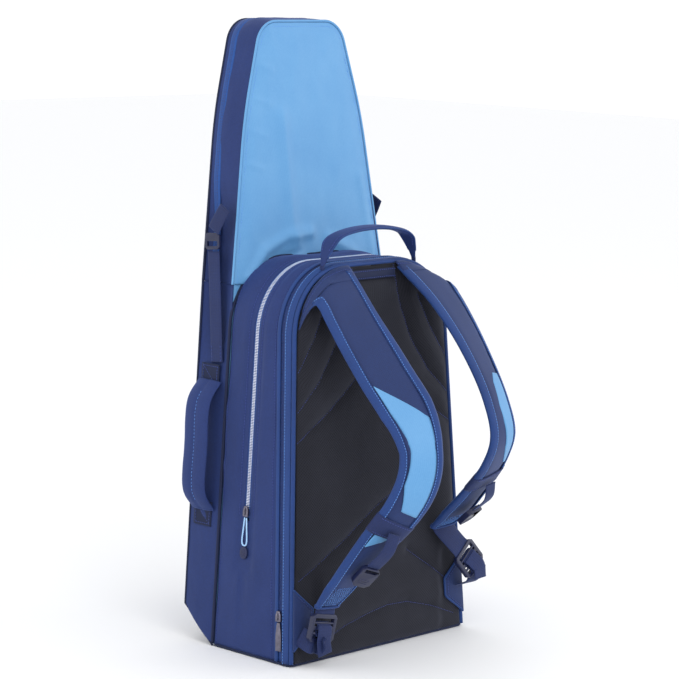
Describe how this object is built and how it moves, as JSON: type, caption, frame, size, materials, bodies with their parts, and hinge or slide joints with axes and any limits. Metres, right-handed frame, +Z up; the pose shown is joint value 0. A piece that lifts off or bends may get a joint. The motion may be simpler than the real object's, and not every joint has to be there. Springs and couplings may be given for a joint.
{
  "type": "racket backpack",
  "caption": "Upright backpack with a padded back, shoulder straps and a front sleeve whose tall tapered hood covers racket heads.",
  "frame": {"origin": "centre of the flat base panel's underside", "axes": "+Z up the bag, -Y towards the wearer's back, +Y towards the racket sleeve, X across the width"},
  "size_m": [0.3277, 0.3617, 0.754],
  "materials": {
    "navy_polyester": "matt woven polyester",
    "navy_deep": "matt coated polyester",
    "navy_webbing": "flat nylon webbing",
    "pad_fabric": "padded polyester, bound edges",
    "sky_satin": "satin polyester, slight sheen",
    "blue_binding": "woven tape",
    "back_mesh": "quilted, fine knit",
    "eva_foam": "closed-cell foam",
    "frame_plastic": "matt sheet",
    "zipper_silver": "silver coil, semi-gloss",
    "pull_cord": "braided cord",
    "gunmetal": "plated, satin",
    "acetal": "moulded, satin"
  },
  "bodies": {
    "root": {"base_panel": "navy_deep", "back_cover": "back_mesh", "back_foam": "eva_foam", "frame_sheet": "frame_plastic", "back_piping": "blue_binding", "rear_gusset": "blue_binding", "rear_zipper": "blue_binding", "main_gusset": "navy_polyester", "main_zipper": "zipper_silver", "yoke_band": "navy_webbing", "sleeve_rear_wall": "sky_satin", "sleeve_floor": "navy_deep", "sleeve_front_panel": "navy_polyester", "sleeve_gusset_left": "navy_polyester", "sleeve_gusset_right": "navy_polyester", "front_pocket_upper": "navy_polyester", "front_pocket_lower": "navy_polyester", "side_handle": "navy_webbing", "tie_strap_left": "navy_webbing", "tie_strap_right": "navy_webbing", "strap_wing_left": "navy_polyester", "strap_wing_right": "navy_polyester", "lower_webbing_left": "blue_binding", "lower_webbing_right": "blue_binding"},
    "hood": {"hood_back_panel": "sky_satin", "hood_front_panel": "navy_polyester", "hood_gusset": "navy_polyester", "hood_loop_left": "navy_webbing", "hood_loop_right": "navy_webbing"},
    "grab_handle_body": {"grab_handle": "navy_webbing"},
    "strap_left": {"strap_pad_left": "pad_fabric", "sternum_keeper_left": "navy_webbing"},
    "lock_left": {"ladder_lock_left": "acetal"},
    "sternum_left": {"sternum_webbing_left": "blue_binding", "sternum_buckle_left": "acetal"},
    "tie_hook_body_left": {"tie_hook_left": "acetal"},
    "main_slider_body_left": {"main_slider_left": "gunmetal"},
    "main_pull_left": {"main_pull_cord_left": "pull_cord", "main_pull_tab_left": "acetal"},
    "rear_slider_body_left": {"rear_slider_left": "gunmetal"},
    "rear_pull_left": {"rear_puller_left": "gunmetal"},
    "strap_right": {"strap_pad_right": "pad_fabric", "sternum_keeper_right": "navy_webbing"},
    "lock_right": {"ladder_lock_right": "acetal"},
    "sternum_right": {"sternum_webbing_right": "blue_binding", "sternum_buckle_right": "acetal"},
    "tie_hook_body_right": {"tie_hook_right": "acetal"},
    "main_slider_body_right": {"main_slider_right": "gunmetal"},
    "main_pull_right": {"main_pull_cord_right": "pull_cord", "main_pull_tab_right": "acetal"},
    "rear_slider_body_right": {"rear_slider_right": "gunmetal"},
    "rear_pull_right": {"rear_puller_right": "gunmetal"},
    "pocket_slider_body_upper": {"pocket_slider_upper": "gunmetal"},
    "pocket_pull_upper": {"pocket_pull_cord_upper": "pull_cord", "pocket_pull_tab_upper": "acetal"},
    "pocket_slider_body_lower": {"pocket_slider_lower": "gunmetal"},
    "pocket_pull_lower": {"pocket_pull_cord_lower": "pull_cord", "pocket_pull_tab_lower": "acetal"}
  },
  "joints": [
    {"name": "hood_fold", "type": "hinge", "parent": "root", "child": "hood", "pos_m": [0, 0.119, 0.4403], "axis": [-1, 0, 0], "range_deg": [0, 135]},
    {"name": "grab_handle_fold", "type": "hinge", "parent": "root", "child": "grab_handle_body", "pos_m": [0, -0.033, 0.4675], "axis": [1, 0, 0], "range_deg": [-50, 60], "stiffness_Nm_per_rad": 0.05},
    {"name": "strap_swing_left", "type": "hinge", "parent": "root", "child": "strap_left", "pos_m": [-0.076, -0.04355, 0.462], "axis": [-1, 0, 0], "range_deg": [0, 12], "stiffness_Nm_per_rad": 2},
    {"name": "lock_tilt_left", "type": "hinge", "parent": "strap_left", "child": "lock_left", "pos_m": [-0.12068, -0.09061, 0.06478], "axis": [-0.98, -0.01, 0.199], "range_deg": [0, 15], "stiffness_Nm_per_rad": 0.02},
    {"name": "sternum_swing_left", "type": "hinge", "parent": "strap_left", "child": "sternum_left", "pos_m": [-0.09999, -0.18056, 0.17297], "axis": [-0.9072, 0.142, 0.3961], "range_deg": [0, 60], "stiffness_Nm_per_rad": 0.01},
    {"name": "tie_hook_swing_left", "type": "hinge", "parent": "root", "child": "tie_hook_body_left", "pos_m": [-0.1318, 0.0993, 0.4782], "axis": [0, -1, 0], "range_deg": [0, 90], "stiffness_Nm_per_rad": 0.005},
    {"name": "main_slider_left", "type": "slide", "parent": "root", "child": "main_slider_body_left", "axis": [0.051, 0, 0.9987], "range_m": [0, 0.205]},
    {"name": "main_pull_swing_left", "type": "hinge", "parent": "main_slider_body_left", "child": "main_pull_left", "pos_m": [-0.14668, 0.02, 0.1659], "axis": [0, 1, 0], "range_deg": [0, 90]},
    {"name": "rear_slider_left", "type": "slide", "parent": "root", "child": "rear_slider_body_left", "axis": [0.051, 0.068, 0.9964], "range_m": [0, 0.32]},
    {"name": "rear_puller_swing_left", "type": "hinge", "parent": "rear_slider_body_left", "child": "rear_pull_left", "pos_m": [-0.15258, -0.04557, 0.05042], "axis": [0, 1, 0], "range_deg": [0, 90]},
    {"name": "strap_swing_right", "type": "hinge", "parent": "root", "child": "strap_right", "pos_m": [0.076, -0.04355, 0.462], "axis": [-1, 0, 0], "range_deg": [0, 12], "stiffness_Nm_per_rad": 2},
    {"name": "lock_tilt_right", "type": "hinge", "parent": "strap_right", "child": "lock_right", "pos_m": [0.12468, -0.08683, 0.10681], "axis": [-0.8132, -0.158, -0.5601], "range_deg": [0, 15], "stiffness_Nm_per_rad": 0.02},
    {"name": "sternum_swing_right", "type": "hinge", "parent": "strap_right", "child": "sternum_right", "pos_m": [0.08521, -0.16518, 0.20689], "axis": [-0.9806, -0.03, -0.1939], "range_deg": [0, 60], "stiffness_Nm_per_rad": 0.01},
    {"name": "tie_hook_swing_right", "type": "hinge", "parent": "root", "child": "tie_hook_body_right", "pos_m": [0.1318, 0.0993, 0.4782], "axis": [0, 1, 0], "range_deg": [0, 90], "stiffness_Nm_per_rad": 0.005},
    {"name": "main_slider_right", "type": "slide", "parent": "root", "child": "main_slider_body_right", "axis": [-0.051, 0, 0.9987], "range_m": [0, 0.205]},
    {"name": "main_pull_swing_right", "type": "hinge", "parent": "main_slider_body_right", "child": "main_pull_right", "pos_m": [0.14668, 0.02, 0.1659], "axis": [0, -1, 0], "range_deg": [0, 90]},
    {"name": "rear_slider_right", "type": "slide", "parent": "root", "child": "rear_slider_body_right", "axis": [-0.051, 0.068, 0.9964], "range_m": [0, 0.32]},
    {"name": "rear_puller_swing_right", "type": "hinge", "parent": "rear_slider_body_right", "child": "rear_pull_right", "pos_m": [0.15258, -0.04557, 0.05042], "axis": [0, -1, 0], "range_deg": [0, 90]},
    {"name": "pocket_slider_upper", "type": "slide", "parent": "root", "child": "pocket_slider_body_upper", "axis": [1, 0, 0], "range_m": [0, 0.235]},
    {"name": "pocket_pull_swing_upper", "type": "hinge", "parent": "pocket_slider_body_upper", "child": "pocket_pull_upper", "pos_m": [-0.12271, 0.12955, 0.26655], "axis": [1, 0, 0], "range_deg": [0, 90]},
    {"name": "pocket_slider_lower", "type": "slide", "parent": "root", "child": "pocket_slider_body_lower", "axis": [1, 0, 0], "range_m": [0, 0.245]},
    {"name": "pocket_pull_swing_lower", "type": "hinge", "parent": "pocket_slider_body_lower", "child": "pocket_pull_lower", "pos_m": [-0.12874, 0.12955, 0.14855], "axis": [1, 0, 0], "range_deg": [0, 90]}
  ]
}
